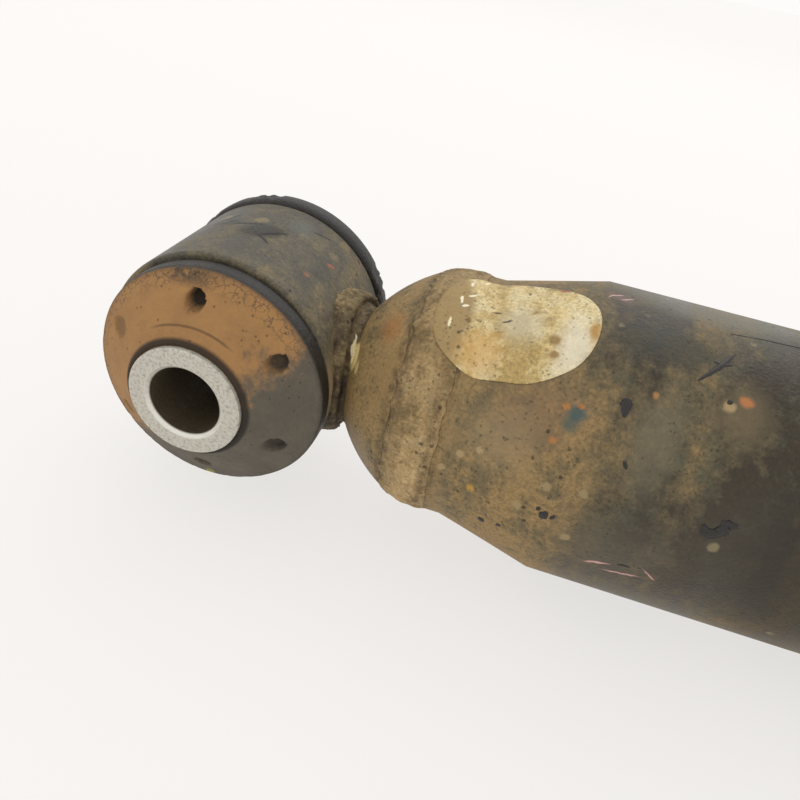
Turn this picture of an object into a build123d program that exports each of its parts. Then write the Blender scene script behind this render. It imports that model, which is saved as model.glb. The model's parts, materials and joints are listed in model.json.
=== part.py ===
from build123d import *
from math import cos, radians, sin
import os

# Rear shock absorber: a gas-charged twin-tube damper with a rubber-bushed eye at each end.
#
# Frame, in millimetres: the origin is the centre of the lower eye, +X runs along the damper
# towards the upper eye, +Y along the lower eye's bore, and +Z up. The damper is drawn at its
# full length, with the rod out against its rebound stop.

os.makedirs("parts", exist_ok=True)

# ---- driving dimensions -------------------------------------------------------------------
LENGTH = 510.0            # eye centre to eye centre, rod fully out
STROKE = 155.0            # rod travel

# eye bush, the same at both ends
BORE_R = 7.1              # bore for an M14 bolt
SLEEVE_R = 11.25
SLEEVE_HALF = 30.0
SLEEVE_CHAMFER = 0.7
RING_R = 24.1
RING_WALL = 3.0
RING_HALF = 15.9
RING_ROUND = 0.8          # rounding of the ring's outer edges
BACK_LIP_R = 24.9         # rubber lip on the +Y side, proud of the steel ring
FRONT_LIP_R = 23.6        # rubber lip on the -Y side, just inside it
LIP_FACE = 20.8           # distance of either lip's face from the middle of the eye
COLLAR_R = 12.4           # rubber collar that hugs the sleeve
COLLAR_END = 28.9
DIMPLE_R = 1.75
DIMPLE_CIRCLE_R = 18.2
DIMPLE_FIRST = 33.0       # degrees from the damper's axis
BOND_GAP = 0.05           # running clearance between rubber and sleeve

# neck between an eye and its cap
STUB_R = 12.3
STUB_END = 26.0           # distance of the stub's end from the eye's centre
STUB_FILLET = 4.0

# base cap, weld and reservoir tube
CAP_START_R = 13.0
CAP_MID = (31.2, 19.1)
JOINT_X = 41.5            # where cap and tube meet under the weld
NECK_R = 25.05
NECK_END = 50.2
CONE_END = 69.8
TUBE_R = 30.0
TUBE_WALL = 2.0
WELD_START = (37.2, 23.35)
WELD_CROWN = (42.0, 25.05)
WELD_END = (46.6, 25.15)
WELD_DEPTH = 1.4

# blank weathered label on the neck
LABEL_MIDDLE = 54.4
LABEL_HALF_LENGTH = 14.9
LABEL_HALF_WIDTH = 12.4
LABEL_ANGLE = 67.5        # degrees round from -Y towards +Z
LABEL_THICK = 0.15

# pressure tube and base valve
BARREL_R = 20.0           # inside radius
BARREL_WALL = 1.5
SEAT_X = 40.0             # the shoulder in the cap that the base valve sits on
SEAT_R = 19.0             # inner edge of that shoulder
RIM_R = 22.0              # room round the base valve's rim
POCKET_X = 32.0           # floor of the oil pocket under the valve
POCKET_R = 12.0
POCKET_TAPER_X = 37.0
PIN_R = 3.0               # rivet through the base valve
BASE_LIFT = 1.2           # travel of the base check plate
CHECK_THICK = 0.8

# rod, piston and guide
ROD_R = 9.0
TAIL_R = 6.0              # rod's reduced end that carries the piston
STACK_END = 56.5          # top of the base valve's rivet, which the piston nut must clear
PISTON_STACK = 59.0       # nut end to the top of the rebound stop
GUIDE_X = STACK_END + STROKE + PISTON_STACK
RUN_FIT = 0.03            # running clearance of rod, guide and piston ring
PISTON_LIFT = 1.2
REBOUND_LIFT = 0.8

# dust tube and its cap
DUST_R = 34.0
DUST_WALL = 1.5
ROD_IN_STUB = 1.4         # how far the rod reaches into the upper stub

# ---- positions worked out from them -------------------------------------------------------
BODY_END = GUIDE_X + 26.0                   # rolled end of the reservoir tube
BUMP_PACKED = 14.0                          # bump stop's height when it is fully squeezed
CUP_X = BODY_END + STROKE + BUMP_PACKED     # underside of the bump stop's cup
BUMP_LENGTH = 42.0
DUST_END = BODY_END - 19.0                  # open end of the dust tube
DUST_TOP = CUP_X + 1.5
UPPER_STUB = LENGTH - STUB_END              # where the dust cap ends and the upper stub starts
TAIL_END = GUIDE_X - PISTON_STACK
PISTON_LOW = TAIL_END + 21.0
PISTON_HIGH = PISTON_LOW + 14.0
SHOULDER_X = PISTON_HIGH + 5.5              # where the rod steps down to its tail


# ---- helpers ------------------------------------------------------------------------------
def turned(points, axis=Axis.X):
    """Solid of revolution of a closed outline of points (along the axis, radius)."""
    if axis == Axis.Y:
        points = [(r, y) for y, r in points]
    return revolve(make_face(Polyline(*points, close=True)), axis)


def ring_solid(start, end, inner, outer, axis=Axis.X):
    """Plain round tube between two places on an axis."""
    return turned([(start, inner), (end, inner), (end, outer), (start, outer)], axis)


def rod_solid(start, end, radius, offset=0.0, angle=0.0):
    """Round bar along X, at a distance and angle off the damper's axis."""
    a = radians(angle)
    place = Pos((start + end) / 2, offset * cos(a), offset * sin(a)) * Rot(0, 90, 0)
    return place * Cylinder(radius, end - start)


def drilled(solid, start, end, radius, circle_r, count, turn=0.0):
    """Cut a circle of axial holes."""
    for i in range(count):
        solid -= rod_solid(start, end, radius, circle_r, turn + 360 * i / count)
    return solid


def coil_spring(start, end, mean_r, wire_r, turns):
    """Coil spring along X between two seats."""
    height = end - start - 2 * wire_r
    path = Helix(height / turns, height, mean_r)
    section = Plane(path @ 0, z_dir=path % 0) * Circle(wire_r)
    return Pos(start + wire_r, 0, 0) * Rot(0, 90, 0) * sweep(section, path, is_frenet=True)


def outline(lift=0.0):
    """Outside of cap, weld and neck from the stub to the parallel tube, raised by lift."""
    points = [(STUB_END, CAP_START_R), CAP_MID, WELD_START]
    dome = ThreePointArc(*[(x - lift * 0.6, r + lift * 0.8) for x, r in points])
    bead = ThreePointArc(dome @ 1, (WELD_CROWN[0], WELD_CROWN[1] + lift),
                         (WELD_END[0], WELD_END[1] + lift))
    toe = Line(bead @ 1, (WELD_END[0] + 0.4, NECK_R + lift))
    neck = Line(toe @ 1, (NECK_END, NECK_R + lift))
    cone = Line(neck @ 1, (CONE_END, TUBE_R + lift))
    return [dome, bead, toe, neck, cone]


def save(node, solid):
    """Write one sub-part."""
    export_step(solid, f"parts/{node}.step")


# ---- eyes ---------------------------------------------------------------------------------
def eye_ring():
    """Steel ring that holds the bush."""
    inner = RING_R - RING_WALL
    half = [Line((inner, 0), (inner, RING_HALF)), Line((inner, RING_HALF), (RING_R - RING_ROUND, RING_HALF)),
            RadiusArc((RING_R - RING_ROUND, RING_HALF), (RING_R, RING_HALF - RING_ROUND), RING_ROUND),
            Line((RING_R, RING_HALF - RING_ROUND), (RING_R, 0)), Line((RING_R, 0), (inner, 0))]
    upper_half = revolve(make_face(Curve() + half), Axis.Y)
    return upper_half + mirror(upper_half, Plane.XZ)


def rubber_half(lip_r):
    """One half of the rubber, on the +Y side: filling, lip, cone with six dimples, collar."""
    inner = SLEEVE_R + BOND_GAP
    filling = RING_R - RING_WALL
    profile = [(0, inner), (0, filling), (RING_HALF, filling), (RING_HALF, lip_r - 0.5),
               (RING_HALF + 0.5, lip_r), (LIP_FACE - 0.9, lip_r), (LIP_FACE - 0.2, lip_r - 0.3),
               (LIP_FACE, lip_r - 1.0), (COLLAR_END - 0.6, COLLAR_R), (COLLAR_END, COLLAR_R - 0.4),
               (COLLAR_END, inner)]
    solid = turned(profile, Axis.Y)
    for i in range(6):
        a = radians(DIMPLE_FIRST + 60 * i)
        place = Pos(DIMPLE_CIRCLE_R * cos(a), LIP_FACE + 2.4, DIMPLE_CIRCLE_R * sin(a))
        solid -= place * Rot(90, 0, 0) * Cylinder(DIMPLE_R, 4.4)
    return solid


def bush_rubber():
    """Bonded rubber: fills the ring, laps over its ends and rises in a cone to the sleeve."""
    return rubber_half(BACK_LIP_R) + mirror(rubber_half(FRONT_LIP_R), Plane.XZ)


def bush_sleeve():
    """Steel sleeve that the mounting bolt passes through."""
    c = SLEEVE_CHAMFER
    h = SLEEVE_HALF
    outline_points = [(-h, BORE_R + c), (-h + c, BORE_R), (h - c, BORE_R), (h, BORE_R + c),
                      (h, SLEEVE_R - 0.3), (h - 0.3, SLEEVE_R), (0.3 - h, SLEEVE_R),
                      (-h, SLEEVE_R - 0.3)]
    return turned(outline_points, Axis.Y)


def stub_to_eye():
    """Round stub from the eye's skin to the start of the cap, cut to the ring's curve."""
    return rod_solid(12.0, STUB_END, STUB_R) - ring_filler()


def ring_filler():
    """The space of the eye ring and everything in it."""
    return ring_solid(-RING_HALF, RING_HALF, 0, RING_R, Axis.Y)


def eye_weld():
    """Saddle-shaped fillet between eye ring and stub."""
    ring = ring_solid(-RING_HALF - 6, RING_HALF + 6, 0, RING_R, Axis.Y)
    stub = rod_solid(0, STUB_END + 12, STUB_R)
    joined = ring + stub
    meeting = joined.edges().filter_by(lambda e: e.geom_type not in (GeomType.CIRCLE, GeomType.LINE))
    meeting = meeting.filter_by(lambda e: e.center().X > 5)
    fillet_only = fillet(meeting, STUB_FILLET) - ring - stub
    fillet_only = fillet_only - rod_solid(STUB_END, STUB_END + 12, 30)
    keep = Pos(STUB_END / 2, 0, 0) * Box(STUB_END, 2 * (RING_HALF - RING_ROUND), 60)
    return (fillet_only & keep).solids().sort_by(SortBy.VOLUME)[-1]


lower_eye = {"eye_ring": eye_ring(), "bush_rubber": bush_rubber(), "bush_sleeve": bush_sleeve(),
             "eye_weld": eye_weld()}
to_upper = Pos(LENGTH, 0, 0) * Rot(0, 0, 180)
for piece, solid in lower_eye.items():
    save(f"lower_{piece}", solid)
    save(f"upper_{piece}", to_upper * solid)

# ---- base cap, its weld and the reservoir tube --------------------------------------------
dome, bead, toe = outline()[:3]


def base_weld():
    """Ring of weld that closes the groove between cap and tube."""
    root = Line(toe @ 1, (JOINT_X, NECK_R - WELD_DEPTH))
    flank = Line(root @ 1, dome @ 1)
    return revolve(make_face(Curve() + [bead, toe, root, flank]), Axis.X)


def base_cap():
    """Domed end of the damper: solid nose, a pocket under the base valve and its seat."""
    corners = [(JOINT_X, NECK_R - WELD_DEPTH), (JOINT_X, RIM_R + 0.2), (SEAT_X, RIM_R),
               (SEAT_X, SEAT_R), (POCKET_TAPER_X, SEAT_R), (POCKET_X, POCKET_R),
               (POCKET_X, 0.0), (STUB_END, 0.0), (STUB_END, CAP_START_R)]
    inside = [Line(a, b) for a, b in zip(corners, corners[1:])]
    rim = Line(dome @ 1, (JOINT_X, NECK_R - WELD_DEPTH))
    return revolve(make_face(Curve() + [dome, rim] + inside), Axis.X) + stub_to_eye()


def reservoir_tube():
    """Outer tube: necked down at the cap, rolled inwards over the seal pack at the rod end."""
    wall = TUBE_WALL
    outside = [(WELD_END[0] + 0.4, NECK_R), (NECK_END, NECK_R), (CONE_END, TUBE_R), (BODY_END - 2.5, TUBE_R),
               (BODY_END - 0.7, TUBE_R - 0.7), (BODY_END, TUBE_R - 2.5), (BODY_END, 21.0)]
    inside = [(BODY_END - wall, 21.0), (BODY_END - wall, TUBE_R - wall),
              (CONE_END + 0.5, TUBE_R - wall), (NECK_END + 0.5, NECK_R - wall),
              (JOINT_X, NECK_R - wall), (JOINT_X, NECK_R - WELD_DEPTH)]
    return turned(outside + inside)


def body_core(lift=0.0):
    """Solid inside the outline, raised by lift."""
    skin = outline(lift)
    close_skin = [Line(skin[-1] @ 1, (CONE_END, 0)), Line((CONE_END, 0), (STUB_END, 0)),
                  Line((STUB_END, 0), skin[0] @ 0)]
    return revolve(make_face(Curve() + skin + close_skin), Axis.X)


def label():
    """Thin oval label that lies over weld, neck and cone."""
    shell = body_core(LABEL_THICK) - body_core()
    oval = extrude(RectangleRounded(2 * LABEL_HALF_LENGTH, 2 * LABEL_HALF_WIDTH,
                                    LABEL_HALF_WIDTH - 1.5), 60)
    standing = Pos(LABEL_MIDDLE, 0, 0) * Rot(90 - LABEL_ANGLE, 0, 0) * oval
    return shell & standing


save("base_weld", base_weld())
save("base_cap", base_cap())
save("reservoir_tube", reservoir_tube())
save("label", label())

# ---- pressure tube and base valve ---------------------------------------------------------
BODY_TOP = SEAT_X + 6.5
PLATE_TOP = BODY_TOP + CHECK_THICK
RETAINER_X = BODY_TOP + 5.0


def base_valve_body():
    """Sintered body: sits on the cap's shoulder and centres the pressure tube."""
    solid = turned([(SEAT_X - 2.5, PIN_R), (BODY_TOP, PIN_R), (BODY_TOP, BARREL_R),
                    (SEAT_X + 2.5, BARREL_R), (SEAT_X + 2.5, 21.4), (SEAT_X, 21.4),
                    (SEAT_X, 18.6), (SEAT_X - 2.5, 18.6)])
    solid = drilled(solid, 30, 60, 1.6, 14.4, 8)
    solid = drilled(solid, 30, 60, 1.4, 7.2, 4, 45)
    for i in range(6):
        slot = Pos(SEAT_X + 0.6, 0, 20.4) * Box(1.6, 4.5, 4.0)
        solid -= Rot(60 * i, 0, 0) * slot
    return solid


def base_valve_pin():
    """Rivet that holds the valve stack together."""
    low = SEAT_X - 6.0
    return turned([(low, 0), (STACK_END, 0), (STACK_END, 3.5), (STACK_END - 1.5, 5.0),
                   (STACK_END - 3.0, 5.0), (STACK_END - 3.0, PIN_R), (SEAT_X - 3.8, PIN_R),
                   (SEAT_X - 3.8, 6.0), (low + 0.6, 6.0), (low, 5.2)])


def base_spring_cup():
    """Cup that the check spring pushes against, with the spacer that carries it."""
    return turned([(BODY_TOP, PIN_R), (BODY_TOP, 5.0), (RETAINER_X, 5.0), (RETAINER_X, 15.5),
                   (RETAINER_X + 1.2, 15.5), (RETAINER_X + 1.2, 6.0), (STACK_END - 3.0, 6.0),
                   (STACK_END - 3.0, PIN_R)])


save("pressure_tube", ring_solid(SEAT_X + 2.5, GUIDE_X + 6, BARREL_R, BARREL_R + BARREL_WALL))
save("base_valve_body", base_valve_body())
save("base_valve_pin", base_valve_pin())
save("base_valve_discs", ring_solid(SEAT_X - 3.8, SEAT_X - 2.5, PIN_R, 10.2))
save("base_spring_cup", base_spring_cup())
save("base_check_plate", ring_solid(BODY_TOP, PLATE_TOP, 11.5, 17.6))
save("base_check_spring", coil_spring(PLATE_TOP, RETAINER_X, 13.6, 0.45, 2.2))


# ---- rod, piston and their valves ---------------------------------------------------------
def piston_rod():
    """Hard-chromed rod with a reduced, threaded tail, and a groove for the bump stop's circlip."""
    groove = CUP_X + 2.0
    top = UPPER_STUB + ROD_IN_STUB
    return turned([(TAIL_END, 0), (top, 0), (top, ROD_R - 0.6), (top - 0.6, ROD_R),
                   (groove + 1.6, ROD_R), (groove + 1.6, ROD_R - 0.9), (groove, ROD_R - 0.9),
                   (groove, ROD_R), (SHOULDER_X, ROD_R), (SHOULDER_X, TAIL_R),
                   (TAIL_END + 1.0, TAIL_R), (TAIL_END, TAIL_R - 1.0)])


def piston():
    """Sintered piston with a groove for its ring and two circles of oil holes."""
    edge = BARREL_R - 0.8
    floor = edge - 1.6
    low, high = PISTON_LOW + 3.0, PISTON_HIGH - 3.0
    solid = turned([(PISTON_LOW, TAIL_R), (PISTON_HIGH, TAIL_R), (PISTON_HIGH, edge - 0.5),
                    (PISTON_HIGH - 0.5, edge), (high, edge), (high, floor), (low, floor),
                    (low, edge), (PISTON_LOW + 0.5, edge), (PISTON_LOW, edge - 0.5)])
    solid = drilled(solid, PISTON_LOW - 5, PISTON_HIGH + 5, 1.6, 14.0, 8)
    return drilled(solid, PISTON_LOW - 5, PISTON_HIGH + 5, 1.3, 9.3, 6)


def valve_stop():
    """Flanged spacer above the piston that stops the check plate."""
    return turned([(PISTON_HIGH, TAIL_R), (PISTON_HIGH, 8.2), (PISTON_HIGH + 3.5, 8.2),
                   (PISTON_HIGH + 3.5, 16.5), (SHOULDER_X, 16.5), (SHOULDER_X, TAIL_R)])


def piston_nut():
    """Flanged hexagon nut that clamps the piston and seats the rebound spring."""
    across_flats = 19.0
    hexagon = extrude(RegularPolygon(across_flats / 2, 6, major_radius=False), 7.0)
    solid = Pos(TAIL_END + 2.0, 0, 0) * Rot(0, 90, 0) * hexagon
    solid += ring_solid(TAIL_END + 9.0, TAIL_END + 11.0, 0, 12.2)
    return solid - rod_solid(TAIL_END - 5, TAIL_END + 20, TAIL_R)


DISC_THICK = 1.2
BACKING_THICK = 1.5
DISC_LOW = PISTON_LOW - DISC_THICK
BACKING_LOW = DISC_LOW - BACKING_THICK
STOP_TOP = GUIDE_X - 0.3

save("piston_rod", piston_rod())
save("piston", piston())
save("piston_ring", ring_solid(PISTON_LOW + 3.05, PISTON_HIGH - 3.05, BARREL_R - 2.4 + RUN_FIT,
                               BARREL_R - RUN_FIT))
save("piston_nut", piston_nut())
save("piston_valve_stop", valve_stop())
save("piston_check_plate", ring_solid(PISTON_HIGH, PISTON_HIGH + CHECK_THICK, 11.8, 16.6))
save("piston_check_spring", coil_spring(PISTON_HIGH + CHECK_THICK, PISTON_HIGH + 3.5, 13.5, 0.4, 1.6))
save("rebound_discs", ring_solid(DISC_LOW, PISTON_LOW, TAIL_R + RUN_FIT, 11.3))
save("rebound_backing_washer", ring_solid(BACKING_LOW, DISC_LOW, TAIL_R + RUN_FIT, 11.0))
save("rebound_valve_spring", coil_spring(TAIL_END + 11.0, BACKING_LOW, 9.4, 0.9, 2.4))
save("rebound_collar", ring_solid(STOP_TOP - 14.0, STOP_TOP - 9.0, ROD_R, 15.5))
save("rebound_bumper", ring_solid(STOP_TOP - 9.0, STOP_TOP, ROD_R, 16.5))


# ---- rod guide and seal pack --------------------------------------------------------------
def rod_guide():
    """Guide that closes the pressure tube, centres both tubes and holds the seal."""
    tube_seat = GUIDE_X + 6.0
    wide = TUBE_R - TUBE_WALL
    solid = turned([(GUIDE_X, 11.0), (GUIDE_X + 13.0, 11.0), (GUIDE_X + 13.0, 16.0),
                    (GUIDE_X + 20.0, 16.0), (GUIDE_X + 20.0, wide), (tube_seat + 3.0, wide),
                    (tube_seat, wide - 3.0), (tube_seat, BARREL_R), (GUIDE_X + 1.0, BARREL_R),
                    (GUIDE_X, BARREL_R - 1.0)])
    for i in range(4):
        drain = rod_solid(tube_seat - 4, GUIDE_X + 26, 1.5, 24.0, 45 + 90 * i)
        solid -= drain
    return solid


def rod_seal():
    """Rubber seal with a groove for its garter spring."""
    low = GUIDE_X + 13.0
    high = GUIDE_X + 20.0
    inner = ROD_R + RUN_FIT
    return turned([(low, inner + 1.4), (low + 2.0, inner), (high - 2.2, inner),
                   (high - 1.0, inner + 1.4), (high - 1.0, 12.6), (low + 3.5, 12.6),
                   (low + 3.5, 14.4), (high, 14.4), (high, 16.0), (low, 16.0)])


save("rod_guide", rod_guide())
save("guide_bush", ring_solid(GUIDE_X + 1.0, GUIDE_X + 13.0, ROD_R + RUN_FIT, 11.0))
save("rod_seal", rod_seal())
garter = Pos(GUIDE_X + 17.5, 0, 0) * Rot(0, 90, 0) * Torus(13.5, 0.85)
save("seal_garter_spring", garter)
save("seal_washer", ring_solid(GUIDE_X + 20.0, GUIDE_X + 24.0, 13.5, TUBE_R - TUBE_WALL))
save("rod_wiper", turned([(GUIDE_X + 20.0, ROD_R + 1.0), (GUIDE_X + 20.0, 13.5),
                          (GUIDE_X + 24.0, 13.5), (GUIDE_X + 25.6, ROD_R + 1.6),
                          (GUIDE_X + 26.4, ROD_R + RUN_FIT), (GUIDE_X + 24.0, ROD_R + RUN_FIT)]))


# ---- dust tube, its cap and the bump stop -------------------------------------------------
def dust_cap():
    """Domed cap that carries the dust tube and ends in the upper eye's stub."""
    wall = 2.5
    skirt = DUST_R - DUST_WALL
    shoulder = (DUST_TOP + 4.5, 31.4)
    outer_edge = ThreePointArc((DUST_TOP, DUST_R), (DUST_TOP + 2.6, 33.2), shoulder)
    outer_dome = Line(shoulder, (UPPER_STUB, CAP_START_R))
    nose = Line((UPPER_STUB, CAP_START_R), (UPPER_STUB, 0))
    axis_line = Line((UPPER_STUB, 0), (UPPER_STUB - 3.0, 0))
    inner = Polyline((UPPER_STUB - 3.0, 0), (UPPER_STUB - 3.0, 10.6),
                     (shoulder[0] - wall, skirt - wall - 1.0), (DUST_TOP - 6.0, skirt - wall),
                     (DUST_TOP - 6.0, skirt), (DUST_TOP, skirt), (DUST_TOP, DUST_R))
    solid = revolve(make_face(Curve() + [outer_edge, outer_dome, nose, axis_line, inner]), Axis.X)
    solid += to_upper * stub_to_eye()
    return solid - rod_solid(UPPER_STUB - 20, UPPER_STUB + ROD_IN_STUB, ROD_R)


def bump_stop():
    """Foam rubber buffer with two waists, free on the rod under its cup."""
    low = CUP_X - BUMP_LENGTH
    profile = [(low, 14.5), (low + 2.5, 17.0), (low + 9.0, 18.5), (low + 13.0, 15.0),
               (low + 17.0, 15.0), (low + 21.0, 20.0), (low + 25.0, 20.0), (low + 28.5, 16.5),
               (low + 31.5, 16.5), (low + 35.0, 22.0), (CUP_X, 22.0)]
    return turned([(low, ROD_R + 0.3)] + profile + [(CUP_X, ROD_R + 0.3)])


def circlip():
    """Open ring in the rod's groove that backs the bump stop's cup."""
    groove = CUP_X + 2.0
    ring = ring_solid(groove, groove + 1.6, ROD_R - 0.9, 11.2)
    return ring - Pos(groove, 0, -10) * Box(6, 3.0, 8)


save("dust_tube", ring_solid(DUST_END, DUST_TOP, DUST_R - DUST_WALL, DUST_R))
save("dust_cap", dust_cap())
save("bump_stop", bump_stop())
save("bump_stop_cup", turned([(CUP_X, ROD_R + 0.1), (CUP_X, 22.5), (CUP_X - 5.0, 22.5),
                              (CUP_X - 5.0, 24.0), (CUP_X + 2.0, 24.0), (CUP_X + 2.0, ROD_R + 0.1)]))
save("cup_circlip", circlip())
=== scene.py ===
# %% [markdown]
# A used rear shock absorber, shown from its lower eye. The exact shapes and every moving fit come
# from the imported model, which is loaded as a fixed frame. Blender adds what that model leaves plain:
# the rubber's dimples, the welds' beads, the old label, dried tar, and a worn finish on every piece.

# %% Load the frame
import json
import math
import bmesh
import bpy
from mathutils import Matrix, Vector, noise

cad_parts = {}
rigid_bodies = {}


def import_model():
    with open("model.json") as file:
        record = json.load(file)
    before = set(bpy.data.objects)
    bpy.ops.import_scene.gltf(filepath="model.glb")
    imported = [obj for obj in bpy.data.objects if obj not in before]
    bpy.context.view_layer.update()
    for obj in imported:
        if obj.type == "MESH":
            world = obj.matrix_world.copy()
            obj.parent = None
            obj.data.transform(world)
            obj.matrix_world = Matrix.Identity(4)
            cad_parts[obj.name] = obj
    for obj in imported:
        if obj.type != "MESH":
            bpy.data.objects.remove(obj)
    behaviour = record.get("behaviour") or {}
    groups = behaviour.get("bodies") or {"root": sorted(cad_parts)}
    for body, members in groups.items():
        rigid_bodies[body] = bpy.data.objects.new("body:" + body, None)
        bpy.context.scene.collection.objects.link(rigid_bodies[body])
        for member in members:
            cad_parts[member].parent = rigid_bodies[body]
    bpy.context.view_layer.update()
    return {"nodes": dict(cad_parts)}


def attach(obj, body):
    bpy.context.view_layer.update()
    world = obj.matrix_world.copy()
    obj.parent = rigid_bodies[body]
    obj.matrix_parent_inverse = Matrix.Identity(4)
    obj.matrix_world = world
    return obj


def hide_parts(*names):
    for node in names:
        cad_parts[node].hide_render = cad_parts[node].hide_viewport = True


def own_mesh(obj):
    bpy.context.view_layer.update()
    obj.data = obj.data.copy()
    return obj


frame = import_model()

nodes = frame["nodes"]
MM = 0.001
LENGTH = 0.510
print("pieces in the frame:", len(nodes))

# %% [markdown]
# Five small helpers serve the whole file. Colours are written as the familiar sRGB hex values, which
# Blender needs as linear numbers. One function adds any shader node with its settings and links, so
# that a material reads from top to bottom, and one starts a material. One spins an outline into a
# round solid, and one turns a finished bmesh into a piece.

# %% Helpers
def linear(hex_colour):
    channels = [int(hex_colour[i:i + 2], 16) / 255 for i in (1, 3, 5)]
    curve = [c / 12.92 if c <= 0.04045 else ((c + 0.055) / 1.055) ** 2.4 for c in channels]
    return (*curve, 1.0)


def add(tree, kind, inputs=None, **settings):
    node = tree.nodes.new(kind)
    for name, value in settings.items():
        setattr(node, name, value)
    live = [s for s in node.inputs if s.enabled]
    for key, value in (inputs or {}).items():
        socket = live[key] if isinstance(key, int) else next(s for s in live if s.name == key)
        if isinstance(value, bpy.types.Node):
            value = next(s for s in value.outputs if s.enabled)
        if isinstance(value, bpy.types.NodeSocket):
            tree.links.new(value, socket)
        else:
            socket.default_value = value
    return node


def new_material(name, **shader_numbers):
    material = bpy.data.materials.new(name)
    material.use_nodes = True
    tree = material.node_tree
    tree.nodes.clear()
    shader = add(tree, "ShaderNodeBsdfPrincipled")
    for socket, value in shader_numbers.items():
        shader.inputs[socket.replace("_", " ")].default_value = value
    out = add(tree, "ShaderNodeOutputMaterial", {"Surface": shader})
    place = add(tree, "ShaderNodeTexCoord").outputs["Object"]
    return material, tree, shader, place


def spun(outline, steps, about="X"):
    # outline: places along the axis and distances from it, in mm
    bm = bmesh.new()
    if about == "X":
        corners = [bm.verts.new((along * MM, 0, r * MM)) for along, r in outline]
    else:
        corners = [bm.verts.new((r * MM, along * MM, 0)) for along, r in outline]
    edges = [bm.edges.new(pair) for pair in zip(corners, corners[1:] + corners[:1])]
    axis = (1, 0, 0) if about == "X" else (0, 1, 0)
    bmesh.ops.spin(bm, geom=corners + edges, cent=(0, 0, 0), axis=axis, angle=math.tau, steps=steps,
                   use_merge=True)
    bmesh.ops.remove_doubles(bm, verts=bm.verts, dist=1e-6)
    return bm


def finished(bm, name, body, material, node=None):
    bmesh.ops.recalc_face_normals(bm, faces=bm.faces)
    mesh = bpy.data.meshes.new(name)
    bm.to_mesh(mesh)
    bm.free()
    for face in mesh.polygons:
        face.use_smooth = True
    mesh.materials.append(material)
    piece = bpy.data.objects.new(name, mesh)
    bpy.context.scene.collection.objects.link(piece)
    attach(piece, body)
    if node:
        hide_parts(node)
    print(name, len(mesh.polygons), "faces")
    return piece


print("helpers ready")

# %% [markdown]
# The damper's skin is round, so a mark on it is placed as a fitter would: so many millimetres along,
# and so many degrees round from the front. The skin's radius swells from the domed cap over the
# weld and the necked end of the tube to the full 60 mm body.

# %% Places on the skin
# places along the damper and the skin's radius there, in mm
SKIN = [(26, 13.0), (28.4, 16.1), (31.2, 19.1), (34, 21.6), (37.2, 23.35), (42.0, 25.05), (46.6, 25.15),
        (50.2, 25.05), (69.8, 30.0), (600, 30.0)]


def skin_radius(x):
    for (x0, r0), (x1, r1) in zip(SKIN, SKIN[1:]):
        if x <= x1:
            return r0 + (r1 - r0) * max(0.0, x - x0) / (x1 - x0)
    return SKIN[-1][1]


def on_skin(x, angle, lift=0.0):
    a = math.radians(angle)
    r = skin_radius(x) + lift
    return Vector((x, -r * math.cos(a), r * math.sin(a))) * MM


def turn_on_skin(angle, turn):
    a, t = math.radians(angle), math.radians(turn)
    along, round_it = Vector((1, 0, 0)), Vector((0, math.sin(a), math.cos(a)))
    u = along * math.cos(t) + round_it * math.sin(t)
    v = round_it * math.cos(t) - along * math.sin(t)
    return Matrix((u, v, u.cross(v))).transposed().to_euler()


print("skin radius at the neck and the body:", skin_radius(48), skin_radius(100))

# %% [markdown]
# The paint is a thin black enamel, sprayed on, that years of road dirt have turned olive and tan.
# It is built in layers, as it aged. The lowest is uneven paint: broad noise and bands of dried
# run-off decide how much dust lies on it, then come cooler patches and fine grit. The patterns
# that later layers need again are handed on with the colour.

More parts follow.
